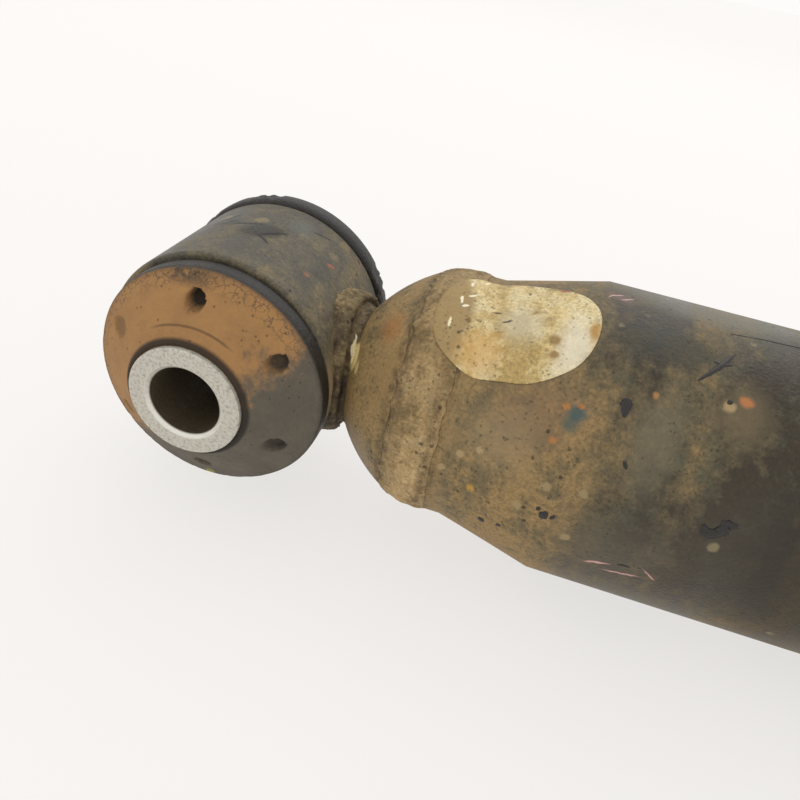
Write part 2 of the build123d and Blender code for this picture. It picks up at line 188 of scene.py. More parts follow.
# %% Dirty paint
def dirty_paint(tree, place, dark, mid, tan, cool, tan_from, tan_to, blotch):
    x = add(tree, "ShaderNodeSeparateXYZ", {0: place}).outputs["X"]
    broad = add(tree, "ShaderNodeTexNoise", {"Vector": place, "Scale": blotch, "Detail": 8.0, "Roughness": 0.68})
    # run-off dries in bands round the tube, so this pattern is squeezed along the damper
    squeezed = add(tree, "ShaderNodeMapping", {"Vector": place, "Scale": (1.0, 0.28, 0.28)})
    bands = add(tree, "ShaderNodeTexNoise", {"Vector": squeezed, "Scale": 95.0, "Detail": 4.0, "Roughness": 0.55})
    fine = add(tree, "ShaderNodeTexNoise", {"Vector": place, "Scale": 420.0, "Detail": 6.0, "Roughness": 0.7})
    # a coat that names a stretch leans to tan at its start and to dark at its end
    lean = (0.20, -0.07) if tan_to else (0.0, 0.0)
    near_weld = add(tree, "ShaderNodeMapRange", {
        0: x, "From Min": tan_from * MM, "From Max": tan_to * MM + 0.001, "To Min": lean[0], "To Max": lean[1]},
        interpolation_type="SMOOTHSTEP")
    mixed = add(tree, "ShaderNodeMath", {0: broad, 1: bands}, operation="ADD")
    halved = add(tree, "ShaderNodeMath", {0: mixed, 1: 0.62, 2: near_weld}, operation="MULTIPLY_ADD")
    dust = add(tree, "ShaderNodeMath", {0: fine, 1: 0.40, 2: halved}, operation="MULTIPLY_ADD")
    ramp = add(tree, "ShaderNodeValToRGB", {0: dust})
    stops = ramp.color_ramp.elements
    stops[0].position, stops[0].color = 0.70, linear(dark)
    stops[1].position, stops[1].color = 0.97, linear(tan)
    stops.new(0.82).color = linear(mid)
    # a second, cooler dirt lies in patches about 8 mm across
    patches = add(tree, "ShaderNodeTexNoise", {"Vector": place, "Scale": 150.0, "Detail": 8.0, "Roughness": 0.72})
    patch = add(tree, "ShaderNodeMapRange", {0: patches, "From Min": 0.49, "From Max": 0.60,
                                             "To Min": 0.0, "To Max": 0.6})
    colour = add(tree, "ShaderNodeMix", {0: patch, 1: ramp, 2: linear(cool)}, data_type="RGBA")
    # road grit half a millimetre across breaks up every colour
    sand = add(tree, "ShaderNodeTexNoise", {"Vector": place, "Scale": 1500.0, "Detail": 5.0, "Roughness": 0.8})
    shade = add(tree, "ShaderNodeMapRange", {0: sand, "From Min": 0.34, "From Max": 0.66,
                                             "To Min": 0.62, "To Max": 1.32})
    colour = add(tree, "ShaderNodeMix", {0: 1.0, 1: colour, 2: shade}, data_type="RGBA", blend_type="MULTIPLY")
    return colour, dust, {"broad": broad, "fine": fine, "patches": patches}


print("first layer ready")

# %% [markdown]
# Marks lie on top of the paint. A mark is an ellipsoid of colour with a soft edge, put where it
# belongs. Its edge is made ragged by shaking every place with noise before the mark is looked up:
# by 2 mm at most for a wide stain, and by half a millimetre for a chip.

# %% Marks
WIDE, CLOSE = 4.0, 0.9                  # span of the shaking in mm, half of it either way
WIDE_MARK = 3.0                         # half width from which a mark counts as a wide stain


def shaken_places(tree, place):
    shaken = {}
    for reach, scale in ((WIDE, 90.0), (CLOSE, 700.0)):
        wobble = add(tree, "ShaderNodeTexNoise", {"Vector": place, "Scale": scale, "Detail": 3.0})
        centred = add(tree, "ShaderNodeVectorMath", {0: wobble.outputs["Color"], 1: (0.5, 0.5, 0.5)},
                      operation="SUBTRACT")
        scaled = add(tree, "ShaderNodeVectorMath", {0: centred, "Scale": reach * MM}, operation="SCALE")
        shaken[reach] = add(tree, "ShaderNodeVectorMath", {0: scaled, 1: place}, operation="ADD")
    return shaken


def with_marks(tree, colour, shaken, marks):
    for along, angle, half_long, half_wide, turn, hue, strength, core in marks:
        deep = max(half_wide, half_long, 2.0)
        centre = Vector(along) * MM if isinstance(along, tuple) else on_skin(along, angle)
        local = add(tree, "ShaderNodeMapping", {
            "Vector": shaken[WIDE if half_wide > WIDE_MARK else CLOSE], "Location": centre,
            "Rotation": turn_on_skin(angle, turn), "Scale": Vector((half_long, half_wide, deep)) * MM},
            vector_type="TEXTURE")
        far = add(tree, "ShaderNodeVectorMath", {0: local}, operation="LENGTH").outputs["Value"]
        inside = add(tree, "ShaderNodeMapRange", {0: far, "From Min": 1.0, "From Max": core,
                                                  "To Min": 0.0, "To Max": strength},
                     interpolation_type="SMOOTHSTEP")
        colour = add(tree, "ShaderNodeMix", {0: inside, 1: colour, 2: linear(hue)}, data_type="RGBA")
    return colour


print("marks ready")

# %% [markdown]
# Two more layers go over the marks. Some stains run right round the damper, such as the grit held
# along a weld's edge. Then pale lime spots and black specks are scattered on a few cells only, and
# mostly where the dirt already lies in patches.

# %% Round stains and specks
# cells to the metre, size, share of cells left bare, colour, strength
SPECKS = [(125.0, 0.16, 0.60, "#958058", 0.5), (560.0, 0.20, 0.78, "#211c16", 0.75),
          (230.0, 0.13, 0.76, "#9c9075", 0.45), (1300.0, 0.28, 0.60, "#2a241b", 0.5)]


def with_round_stains(tree, colour, shaken, fine, lines):
    close_x = add(tree, "ShaderNodeSeparateXYZ", {0: shaken[CLOSE]}).outputs["X"]
    wide_x = add(tree, "ShaderNodeSeparateXYZ", {0: shaken[WIDE]}).outputs["X"]
    for along, half, hue, strength in lines:
        off = add(tree, "ShaderNodeMath", {0: wide_x if half > 1.5 else close_x, 1: along * MM},
                  operation="SUBTRACT")
        far = add(tree, "ShaderNodeMath", {0: off}, operation="ABSOLUTE")
        near = add(tree, "ShaderNodeMapRange", {0: far, "From Min": half * MM, "From Max": half * 0.2 * MM,
                                                "To Min": 0.0, "To Max": strength})
        broken = add(tree, "ShaderNodeMapRange", {0: fine, "From Min": 0.40, "From Max": 0.58})
        held = add(tree, "ShaderNodeMath", {0: near, 1: broken}, operation="MULTIPLY")
        colour = add(tree, "ShaderNodeMix", {0: held, 1: colour, 2: linear(hue)}, data_type="RGBA")
    return colour


def with_specks(tree, colour, shaken, patches):
    gathered = add(tree, "ShaderNodeMapRange", {0: patches, "From Min": 0.40, "From Max": 0.54})
    for scale, size, share, hue, strength in SPECKS:
        cells = add(tree, "ShaderNodeTexVoronoi", {"Vector": shaken[CLOSE], "Scale": scale})
        dot = add(tree, "ShaderNodeMapRange", {0: cells.outputs["Distance"], "From Min": size * 1.35,
                                               "From Max": size * 0.8, "To Min": 0.0, "To Max": strength})
        chosen = add(tree, "ShaderNodeMath", {0: cells.outputs["Color"], 1: share}, operation="GREATER_THAN")
        picked = add(tree, "ShaderNodeMath", {0: dot, 1: chosen}, operation="MULTIPLY")
        both = add(tree, "ShaderNodeMath", {0: picked, 1: gathered}, operation="MULTIPLY")
        colour = add(tree, "ShaderNodeMix", {0: both, 1: colour, 2: linear(hue)}, data_type="RGBA")
    return colour


print("kinds of speck:", len(SPECKS))

# %% [markdown]
# The coat puts the layers together. Clean paint keeps a satin shine and dirt takes it away, so the
# dust pattern sets the roughness too. Two bumps, one broad and one as fine as the grit, roughen it.

# %% The weathered coat
def weathered(name, dark, mid, tan, tan_from=0, tan_to=0, marks=(), lines=(), rough=0.5, grain=0.00035,
              blotch=38.0, cool="#4d4c3b"):
    material, tree, shader, place = new_material(name, Specular_IOR_Level=0.32)
    colour, dust, pattern = dirty_paint(tree, place, dark, mid, tan, cool, tan_from, tan_to, blotch)
    shaken = shaken_places(tree, place)
    colour = with_marks(tree, colour, shaken, marks)
    colour = with_round_stains(tree, colour, shaken, pattern["fine"], lines)
    colour = with_specks(tree, colour, shaken, pattern["patches"])
    tree.links.new(next(s for s in colour.outputs if s.enabled), shader.inputs["Base Color"])
    shine = add(tree, "ShaderNodeMapRange", {0: dust, "From Min": 0.65, "From Max": 1.0,
                                             "To Min": rough - 0.10, "To Max": rough + 0.28})
    tree.links.new(shine.outputs[0], shader.inputs["Roughness"])
    grit = add(tree, "ShaderNodeTexNoise", {"Vector": place, "Scale": 0.6 / grain, "Detail": 5.0})
    low = add(tree, "ShaderNodeBump", {"Height": pattern["broad"].outputs[0], "Strength": 0.25,
                                       "Distance": 0.0006})
    high = add(tree, "ShaderNodeBump", {"Height": grit, "Strength": 0.6, "Distance": 0.00022, "Normal": low})
    tree.links.new(high.outputs[0], shader.inputs["Normal"])
    return material


print("coat ready")

# %% [markdown]
# Every mark that has its own place is a row in a list: the tan run-off, painted shade on the lower
# side, a painted grey sheen along the top, the rust, the blue-green stain, chips down to primer or to
# bare metal. Noise takes care of the rest of the skin, the back and the far end.

# %% Marks on the body
# along mm, degrees round, half length, half width, turn, colour, strength, solid core
# bright bare metal where the paint has flaked off beside the eye's weld
STUB_CHIPS = [
    (26.4, 38, 0.9, 3.4, 0, "#e6cf8c", 0.95, 0.6),
    (25.4, 44, 0.6, 2.4, 8, "#d9cba0", 0.9, 0.6),
    (27.6, 30, 0.6, 1.8, 0, "#cdb473", 0.85, 0.5),
    (25.0, 55, 0.3, 1.2, 20, "#d8cfae", 0.85, 0.5),
]
BODY_MARKS = [
    (63, 33, 12, 10, 0, "#86694a", 0.45, 0.2),      # tan run-off under the label
    (58, 20, 10, 9, 0, "#96805e", 0.5, 0.2),
    (82, 33, 6, 14, 0, "#6f6753", 0.55, 0.2),       # olive band
    (94, 50, 7, 9, 0, "#7b6c4e", 0.5, 0.2),
    (100, 2, 19, 20, 0, "#443d32", 0.6, 0.2),       # painted shade on the lower side, this row and the next
    (112, 0, 17, 30, 0, "#2a251c", 0.75, 0.3),
    (80, -8, 16, 12, 0, "#5c5344", 0.5, 0.2),
    (81, 69, 12, 6.5, 0, "#33332c", 0.7, 0.3),        # dark bluish smudge beside the label
    (90, 98, 24, 9, 0, "#77766a", 0.5, 0.3),        # painted grey sheen along the top
    (32.5, 57, 4, 5, 10, "#a06a38", 0.6, 0.1),        # orange rust smear on the cap
    (34, 30, 6, 12, 0, "#8b7048", 0.5, 0.1),
    (31, -35, 8, 12, 0, "#8a8070", 0.6, 0.2),       # greyer underside of the cap
    (71.5, 88, 3.6, 1.6, -20, "#6b5450", 0.8, 0.3), # purplish scuff and its scratches
    (70.5, 89, 2.2, 0.28, 35, "#c9a5a0", 0.9, 0.5),
    (72.6, 88, 1.8, 0.22, 30, "#c4a09a", 0.9, 0.5),
    (68.6, 36.5, 2.6, 2.2, 0, "#3b5254", 0.85, 0.2),  # blue-green stain ringed with rust
    (67.9, 32.5, 2.1, 2.2, 30, "#40564f", 0.7, 0.1),
    (66.6, 38, 1.0, 0.8, 0, "#a8703a", 0.9, 0.3),
    (68.9, 39, 0.9, 0.7, 0, "#a8703a", 0.9, 0.3),
    (66.0, 26, 1.0, 1.0, 0, "#a9713d", 0.85, 0.3),
    (79.9, 49, 0.9, 1.0, 0, "#a97b45", 0.8, 0.3),
    (94.2, 55, 1.7, 1.3, 0, "#b0713f", 0.9, 0.35),
    (91.6, 52, 1.4, 1.4, 0, "#a89068", 0.8, 0.4),
    (55.0, -5, 1.0, 1.2, 0, "#b58a3c", 0.9, 0.4),
    (51.6, 8, 1.0, 1.0, 0, "#a89168", 0.8, 0.5),
    (54.8, 13, 0.9, 0.9, 0, "#a89168", 0.8, 0.5),
    (48.9, -1, 0.9, 0.9, 0, "#a89168", 0.7, 0.5),
    (63.7, -2, 1.1, 1.1, 0, "#9a8560", 0.8, 0.5),
    (67.4, 10, 1.1, 1.1, 0, "#9a8560", 0.8, 0.5),
    (73.4, 12, 1.0, 1.0, 0, "#95825e", 0.8, 0.5),
    (73.2, -7, 1.1, 1.1, 0, "#95825e", 0.8, 0.5),
    (95.9, 7, 1.2, 1.2, 0, "#85775a", 0.8, 0.5),
    (80.0, -15, 2.9, 0.35, 20, "#c99a90", 0.9, 0.5),  # pink primer in long scratches
    (84.6, -17, 4.0, 0.35, 12, "#c2958c", 0.85, 0.5),
    (89.0, -13, 2.2, 0.28, -40, "#c2958c", 0.85, 0.5),
    (42.6, 62, 0.7, 2.2, 12, "#e8d9ac", 0.95, 0.6),   # bright chips by the label's edge
    (44.7, 75, 1.6, 0.8, 30, "#e4dcc0", 0.95, 0.6),
    (45.0, 85, 0.7, 1.4, 0, "#e4dcc0", 0.9, 0.6),
    (36.8, 45, 0.5, 9.0, 3, "#4a3a26", 0.6, 0.2),     # dark grit along the weld's toe
]
# along mm, half width, colour, strength
SEAM_LINES = [(36.4, 1.2, "#3d3020", 0.5), (47.3, 1.2, "#45371f", 0.45), (49.5, 2.4, "#85714e", 0.4)]
body_paint = weathered("worn_enamel_on_steel", "#372f22", "#63563c", "#8f764d", 36, 96,
                       BODY_MARKS + STUB_CHIPS, SEAM_LINES, rough=0.42)
dust_paint = weathered("worn_enamel_dust_tube", "#413c31", "#575041", "#72664d", rough=0.46)
print("coats:", body_paint.name, dust_paint.name)

# %% [markdown]
# The eye's ring is the same steel without much paint left: grey mill scale, dusty on top, and rusty
# where the weld burnt it. The weld beads are rougher and browner, because bare filler rusts first.

# %% Eye ring and weld finishes
# on the ring a mark's place is a point in mm
RING_MARKS = [
    (26, 15, 10, 11, 0, "#967f58", 0.75, 0.2),
    (28, 45, 8, 8, 0, "#7d6c4c", 0.6, 0.2),
    ((-19, -11, 15), 60, 9, 9, 0, "#84704e", 0.6, 0.2),    # dust on the side that faces the road
    ((1, 0, 24), 90, 6, 4.5, 25, "#26221b", 0.8, 0.4),     # dents and scrapes on the crown
    ((-8, 3, 22.5), 90, 5, 3.5, -20, "#2b2720", 0.75, 0.3),
    ((3, 0, 24), 90, 4.5, 0.6, 50, "#0f0d0a", 0.95, 0.6),
    ((-3, 2, 24), 90, 4.6, 0.5, 15, "#0f0d0a", 0.9, 0.6),
    ((2, -3, 24), 90, 3.4, 0.45, -35, "#100e0b", 0.9, 0.6),
    ((-8, 6, 22.6), 90, 3.0, 0.5, 70, "#100e0b", 0.9, 0.6),
    ((10, 10, 22), 70, 3.2, 0.35, 20, "#171410", 0.85, 0.6),
    # painted grey sheen on the ring's top
    ((6, 8, 23), 80, 4, 5, 0, "#5d6158", 0.6, 0.2),
    ((15, 3, 19), 50, 1.0, 0.7, 0, "#a8583c", 0.8, 0.3),   # spots of fresh rust by the weld
    ((13, -6, 20), 50, 0.9, 0.6, 0, "#a05a40", 0.8, 0.3),
]
BEAD_LINES = [(37.7, 1.7, "#3f311f", 0.7), (45.6, 1.8, "#46371f", 0.7), (42, 1.4, "#b89c6c", 0.3)]
eye_steel = weathered("scaled_steel_eye", "#3f3a30", "#5b5445", "#7a6c50", marks=RING_MARKS, rough=0.44,
                      blotch=85.0, cool="#48463c")
weld_rust = weathered("rusty_weld_bead", "#73603d", "#a1865c", "#c0a477", lines=BEAD_LINES, rough=0.66,
                      grain=0.0002, blotch=150.0, cool="#8c7a58")
eye_weld_rust = weathered("rusty_eye_weld", "#2f2518", "#5f5038", "#a08c64", marks=STUB_CHIPS, rough=0.66,
                          grain=0.0002, blotch=300.0, cool="#4e4634")
print("finishes:", eye_steel.name, weld_rust.name, eye_weld_rust.name)

# %% [markdown]
# The bush is moulded natural rubber. On the face, orange dust has settled on the upper left and
# grey-brown dirt on the lower right, while the lip's side stays black where the arm rubbed it.
# Fine dark cracks, from ozone, open near the rim. Dirt and painted shade darken the dimples and the
# gap round the sleeve, and both kinds of spot come from one short list.

# %% Rubber's dirt
# degrees round, then mm: distance from the axis, reach, solid core; colour, strength
# dark spots in the dimples: dirt, with painted shade in the hollows
DIMPLE_DIRT_AND_SHADE = [(angle, 18.2, 2.0, 1.3, "#1a1510", darkness) for angle, darkness in
               ((93, 0.95), (33, 0.7), (-27, 0.6), (153, 0.35), (213, 0.4), (-87, 0.5))]
# a red-brown nub and a yellow-green speck at the rim
RIM_SPOTS = [(-147, 23.2, 1.7, 1.02, "#713f31", 0.85), (-87, 23.2, 1.3, 0.78, "#8a8638", 0.85)]


def with_face_spots(tree, colour, flat, spots):
    for angle, out, reach, core, hue, strength in spots:
        a = math.radians(angle)
        centre = (out * MM * math.cos(a), 0.0, out * MM * math.sin(a))
        away = add(tree, "ShaderNodeVectorMath", {0: flat, 1: centre}, operation="DISTANCE").outputs["Value"]
        spot = add(tree, "ShaderNodeMapRange", {0: away, "From Min": reach * MM, "From Max": core * MM,
                                                "To Min": 0.0, "To Max": strength})
        colour = add(tree, "ShaderNodeMix", {0: spot, 1: colour, 2: linear(hue)}, data_type="RGBA")
    return colour


def with_cracks(tree, colour, place, depth, dusty, side):
    # torn cells, kept to the dusty part near the rim and off the lip's side
    shake = add(tree, "ShaderNodeTexNoise", {"Vector": place, "Scale": 700.0, "Detail": 3.0})
    small = add(tree, "ShaderNodeVectorMath", {0: shake.outputs["Color"], "Scale": 0.0022}, operation="SCALE")
    torn_up = add(tree, "ShaderNodeVectorMath", {0: small, 1: place}, operation="ADD")
    cells = add(tree, "ShaderNodeTexVoronoi", {"Vector": torn_up, "Scale": 620.0}, feature="DISTANCE_TO_EDGE")
    crack = add(tree, "ShaderNodeMapRange", {0: cells.outputs["Distance"], "From Min": 0.07, "From Max": 0.0,
                                             "To Min": 0.0, "To Max": 0.9})
    rim = add(tree, "ShaderNodeMapRange", {0: depth, "From Min": 0.0232, "From Max": 0.0212},
              interpolation_type="SMOOTHSTEP")
    upper = add(tree, "ShaderNodeMath", {0: rim, 1: dusty}, operation="MULTIPLY")
    cracked = add(tree, "ShaderNodeMath", {0: crack, 1: upper}, operation="MULTIPLY")
    on_face = add(tree, "ShaderNodeMath", {0: 1.0, 1: side}, operation="SUBTRACT")
    faced = add(tree, "ShaderNodeMath", {0: cracked, 1: on_face}, operation="MULTIPLY")
    return add(tree, "ShaderNodeMix", {0: faced, 1: colour, 2: linear("#4a3d30")}, data_type="RGBA")


def with_dirt_and_gap_shade(tree, colour, place, flat):
    # dirt and painted shade darken the gap round the sleeve; dirt lies in what shows of the mould's seam above it
    out = add(tree, "ShaderNodeVectorMath", {0: flat}, operation="LENGTH").outputs["Value"]
    height = add(tree, "ShaderNodeSeparateXYZ", {0: place}).outputs["Z"]
    above = add(tree, "ShaderNodeMapRange", {0: height, "From Min": 0.0116, "From Max": 0.0131})
    for ring, half, darkness, where in ((0.0119, 0.0009, 0.92, 1.0), (0.0144, 0.00028, 0.5, above)):
        off = add(tree, "ShaderNodeMath", {0: out, 1: ring}, operation="SUBTRACT")
        far = add(tree, "ShaderNodeMath", {0: off}, operation="ABSOLUTE")
        held = add(tree, "ShaderNodeMapRange", {0: far, "From Min": half, "From Max": half * 0.4,
                                                "To Min": 0.0, "To Max": darkness})
        kept = add(tree, "ShaderNodeMath", {0: held, 1: where}, operation="MULTIPLY")
        colour = add(tree, "ShaderNodeMix", {0: kept, 1: colour, 2: linear("#1f1911")}, data_type="RGBA")
    return colour


print("spots on the face:", len(DIMPLE_DIRT_AND_SHADE) + len(RIM_SPOTS))

# %% [markdown]
# The rubber's own colour is black, which shows on the lip's side only. On the face two dusts meet
# along a slanting, patchy border. Part of the rim is scorched where the rubber has perished.

# %% Rubber finish
def dusty_rubber(name, middle):
    material, tree, shader, place = new_material(name)
    local = add(tree, "ShaderNodeMapping", {"Vector": place, "Location": (-middle, 0.0, 0.0)})
    towards = add(tree, "ShaderNodeVectorMath", {0: local, 1: (-0.64, 0.0, 0.77)},
                  operation="DOT_PRODUCT").outputs["Value"]
    patchy = add(tree, "ShaderNodeTexNoise", {"Vector": place, "Scale": 190.0, "Detail": 9.0, "Roughness": 0.78})
    lean = add(tree, "ShaderNodeMath", {0: patchy, 1: 0.030, 2: towards}, operation="MULTIPLY_ADD")
    dusty = add(tree, "ShaderNodeMapRange", {0: lean, "From Min": 0.009, "From Max": 0.018},
                interpolation_type="SMOOTHSTEP")
    grey = add(tree, "ShaderNodeMix", {0: patchy, 1: linear("#3f3a33"), 2: linear("#6f6657")}, data_type="RGBA")
    tan = add(tree, "ShaderNodeMix", {0: patchy, 1: linear("#7a5a38"), 2: linear("#b48650")}, data_type="RGBA")
    face = add(tree, "ShaderNodeMix", {0: dusty, 1: grey, 2: tan}, data_type="RGBA")
    y = add(tree, "ShaderNodeSeparateXYZ", {0: place}).outputs["Y"]
    depth = add(tree, "ShaderNodeMath", {0: y}, operation="ABSOLUTE")
    side = add(tree, "ShaderNodeMapRange", {0: depth, "From Min": 0.0208, "From Max": 0.0199},
               interpolation_type="SMOOTHSTEP")
    colour = add(tree, "ShaderNodeMix", {0: side, 1: face, 2: linear("#1e1b17")}, data_type="RGBA")
    colour = with_cracks(tree, colour, place, depth, dusty, side)
    flat = add(tree, "ShaderNodeVectorMath", {0: local, 1: (1.0, 0.0, 1.0)}, operation="MULTIPLY")
    colour = with_dirt_and_gap_shade(tree, colour, place, flat)
    perished = add(tree, "ShaderNodeMapping", {"Vector": local, "Location": (-0.004, -0.0205, 0.0222),
                                               "Scale": (0.0085, 0.004, 0.0034)}, vector_type="TEXTURE")
    past = add(tree, "ShaderNodeVectorMath", {0: perished}, operation="LENGTH").outputs["Value"]
    burnt = add(tree, "ShaderNodeMapRange", {0: past, "From Min": 1.0, "From Max": 0.3, "To Min": 0.0, "To Max": 0.9})
    crumbs = add(tree, "ShaderNodeMapRange", {0: patchy, "From Min": 0.42, "From Max": 0.52})
    scorched = add(tree, "ShaderNodeMath", {0: burnt, 1: crumbs}, operation="MULTIPLY")
    colour = add(tree, "ShaderNodeMix", {0: scorched, 1: colour, 2: linear("#3b342b")}, data_type="RGBA")
    colour = with_face_spots(tree, colour, flat, DIMPLE_DIRT_AND_SHADE + RIM_SPOTS)
    specks = add(tree, "ShaderNodeTexVoronoi", {"Vector": place, "Scale": 520.0})
    speck = add(tree, "ShaderNodeMapRange", {0: specks.outputs["Distance"], "From Min": 0.16, "From Max": 0.08,
                                             "To Min": 0.0, "To Max": 0.6})
    spotted = add(tree, "ShaderNodeMix", {0: speck, 1: colour, 2: linear("#33291f")}, data_type="RGBA")
    tree.links.new(spotted.outputs[2], shader.inputs["Base Color"])
    shine = add(tree, "ShaderNodeMapRange", {0: side, "To Min": 0.85, "To Max": 0.5})
    tree.links.new(shine.outputs[0], shader.inputs["Roughness"])
    grit = add(tree, "ShaderNodeTexNoise", {"Vector": place, "Scale": 1500.0, "Detail": 4.0})
    bump = add(tree, "ShaderNodeBump", {"Height": grit, "Strength": 0.8, "Distance": 0.0003})
    tree.links.new(bump.outputs[0], shader.inputs["Normal"])
    return material


lower_rubber = dusty_rubber("moulded_rubber_dusty", 0.0)
upper_rubber = dusty_rubber("moulded_rubber_upper", LENGTH)
print("rubbers:", lower_rubber.name, upper_rubber.name)

# %% [markdown]
# The sleeve is turned steel with a zinc coat gone pale and pitted. Its end faces are bright, the
# lower side of the chamfer is brighter still, and the bore is dark with old grease and rust.

# %% Sleeve finish
def pitted_zinc(name, middle):
    material, tree, shader, place = new_material(name, Metallic=0.35)
    flat = add(tree, "ShaderNodeMapping", {"Vector": place, "Location": (-middle, 0.0, 0.0)})
    across = add(tree, "ShaderNodeVectorMath", {0: flat, 1: (1.0, 0.0, 1.0)}, operation="MULTIPLY")
    radius = add(tree, "ShaderNodeVectorMath", {0: across}, operation="LENGTH").outputs["Value"]
    bore = add(tree, "ShaderNodeMapRange", {0: radius, "From Min": 0.00735, "From Max": 0.0071})
    mottled = add(tree, "ShaderNodeTexNoise", {"Vector": place, "Scale": 1500.0, "Detail": 8.0, "Roughness": 0.75})
    ramp = add(tree, "ShaderNodeValToRGB", {0: mottled})
    stops = ramp.color_ramp.elements
    stops[0].position, stops[0].color = 0.34, linear("#8d887b")
    stops[1].position, stops[1].color = 0.52, linear("#c4c0b3")
    grease = add(tree, "ShaderNodeMix", {0: mottled, 1: linear("#241f18"), 2: linear("#7a6c55")}, data_type="RGBA")
    # the chamfer is made lighter towards the bottom
    chamfer_band = add(tree, "ShaderNodeMapRange", {0: radius, "From Min": 0.0081, "From Max": 0.0077})
    z = add(tree, "ShaderNodeSeparateXYZ", {0: place}).outputs["Z"]
    low = add(tree, "ShaderNodeMapRange", {0: z, "From Min": 0.004, "From Max": -0.005,
                                           "To Min": 0.15, "To Max": 1.0})
    worn = add(tree, "ShaderNodeMath", {0: chamfer_band, 1: low}, operation="MULTIPLY")
    edged = add(tree, "ShaderNodeMix", {0: worn, 1: ramp, 2: linear("#e9e6dc")}, data_type="RGBA")
    colour = add(tree, "ShaderNodeMix", {0: bore, 1: edged, 2: grease}, data_type="RGBA")
    tree.links.new(colour.outputs[2], shader.inputs["Base Color"])
    shine = add(tree, "ShaderNodeMapRange", {0: mottled, "To Min": 0.62, "To Max": 0.34})
    tree.links.new(shine.outputs[0], shader.inputs["Roughness"])
    bump = add(tree, "ShaderNodeBump", {"Height": mottled, "Strength": 0.5, "Distance": 0.00025})
    tree.links.new(bump.outputs[0], shader.inputs["Normal"])
    return material


lower_zinc = pitted_zinc("pitted_zinc_plate", 0.0)
upper_zinc = pitted_zinc("pitted_zinc_upper", LENGTH)
print("sleeves:", lower_zinc.name, upper_zinc.name)

# %% [markdown]
# The working parts inside are clean and oily. Each takes the finish its making gives it: ground
# chrome on the rod, porous sintered iron, blued spring steel, drawn tube, moulded rubber and foam.
# One recipe is enough: a base colour broken up by noise of the right grain, and a fine bump.

# %% Finishes of the working parts
def made_finish(name, first, second, metal, rough, grain_mm, bump_mm):
    material, tree, shader, place = new_material(name, Metallic=metal)
    grain = add(tree, "ShaderNodeTexNoise", {"Vector": place, "Scale": 1.0 / (grain_mm * MM), "Detail": 5.0,
                                             "Roughness": 0.6})
    colour = add(tree, "ShaderNodeMix", {0: grain, 1: linear(first), 2: linear(second)}, data_type="RGBA")
    tree.links.new(colour.outputs[2], shader.inputs["Base Color"])
    shine = add(tree, "ShaderNodeMapRange", {0: grain, "To Min": rough * 0.8, "To Max": rough * 1.2})
    tree.links.new(shine.outputs[0], shader.inputs["Roughness"])
    bump = add(tree, "ShaderNodeBump", {"Height": grain, "Strength": 0.5, "Distance": bump_mm * MM})
    tree.links.new(bump.outputs[0], shader.inputs["Normal"])
    return material


# name, two colours, metal, roughness, grain mm and bump mm, then the nodes that wear the finish
WORKING = {
    ("ground_hard_chrome", "#c8cbcd", "#d9dbdc", 1.0, 0.12, 4.0, 0.004): ["piston_rod"],
    ("sintered_iron", "#5c5a57", "#79766f", 0.8, 0.6, 0.5, 0.06): ["piston", "rod_guide", "base_valve_body"],
    ("drawn_bright_tube", "#a3a5a4", "#b9bab8", 1.0, 0.3, 2.0, 0.01): ["pressure_tube"],
    ("blued_spring_steel", "#3a3f48", "#575c66", 0.9, 0.32, 1.2, 0.01): [
        "base_valve_discs", "base_check_plate", "base_check_spring", "piston_check_plate",
        "piston_check_spring", "rebound_discs", "rebound_valve_spring", "seal_garter_spring", "cup_circlip"],
    ("oiled_turned_steel", "#83827e", "#9d9b95", 0.95, 0.35, 1.0, 0.015): [
        "base_valve_pin", "base_spring_cup", "piston_nut", "piston_valve_stop", "rebound_backing_washer",
        "rebound_collar", "seal_washer", "bump_stop_cup"],
    ("bronze_bearing_liner", "#7d5f3c", "#9c7a4e", 0.8, 0.4, 0.6, 0.02): ["guide_bush"],
    ("filled_ptfe_ring", "#3d3327", "#574a39", 0.0, 0.5, 0.8, 0.01): ["piston_ring"],
    ("nitrile_seal_rubber", "#1b1b1a", "#2b2a28", 0.0, 0.55, 0.9, 0.02): ["rod_seal", "rod_wiper", "rebound_bumper"],
}
finish_of = {"base_cap": body_paint, "reservoir_tube": body_paint, "dust_tube": dust_paint, "dust_cap": dust_paint,
             "lower_eye_ring": eye_steel, "upper_eye_ring": eye_steel, "lower_bush_sleeve": lower_zinc,
             "upper_bush_sleeve": upper_zinc}
for recipe, names in WORKING.items():
    made = made_finish(*recipe)
    for node_name in names:
        finish_of[node_name] = made
for node_name, made in finish_of.items():
    mesh = nodes[node_name].data
    mesh.materials.clear()
    mesh.materials.append(made)
print("nodes with a finish:", len(finish_of))

# %% [markdown]
# The bush fills the ring, laps over both its ends and rises in a cone to the sleeve. It is a round
# moulding, so its outline is drawn once and spun about the eye's axis. Vertex moves then give what
# spinning can't: six dimples, the mould's seam where it shows, a lip pressed off centre, and a torn
# rear edge.

# %% Rubber bushes
INNER = 11.3
FILL_R = 21.1
DIMPLE_CIRCLE = 18.2
DIMPLE_R = 1.95
SEAM_R = 14.4
LIP_END = 15.8                          # the lips lie beyond the ring's ends
FRONT_LIP_R, REAR_LIP_R = 23.6, 24.9
# degrees round and depth in mm, where below zero stands proud
FRONT_DIMPLES = [(93, 2.8), (33, 2.0), (-27, 1.7), (153, 0.5), (213, -0.5), (-87, 0.9)]
BACK_DIMPLES = [(33 + 60 * i, 2.2) for i in range(6)]


def lip_outline(lip):
    cone = [(20.8 + 7.5 * t / 22, lip - 1.0 + (12.4 - lip + 1.0) * t / 22) for t in range(23)]
    return ([(15.9, FILL_R), (15.9, lip - 0.8), (16.2, lip - 0.3), (17.4, lip), (18.8, lip), (19.9, lip - 0.05),
             (20.5, lip - 0.35)] + cone + [(28.9, 12.0), (28.9, INNER)])


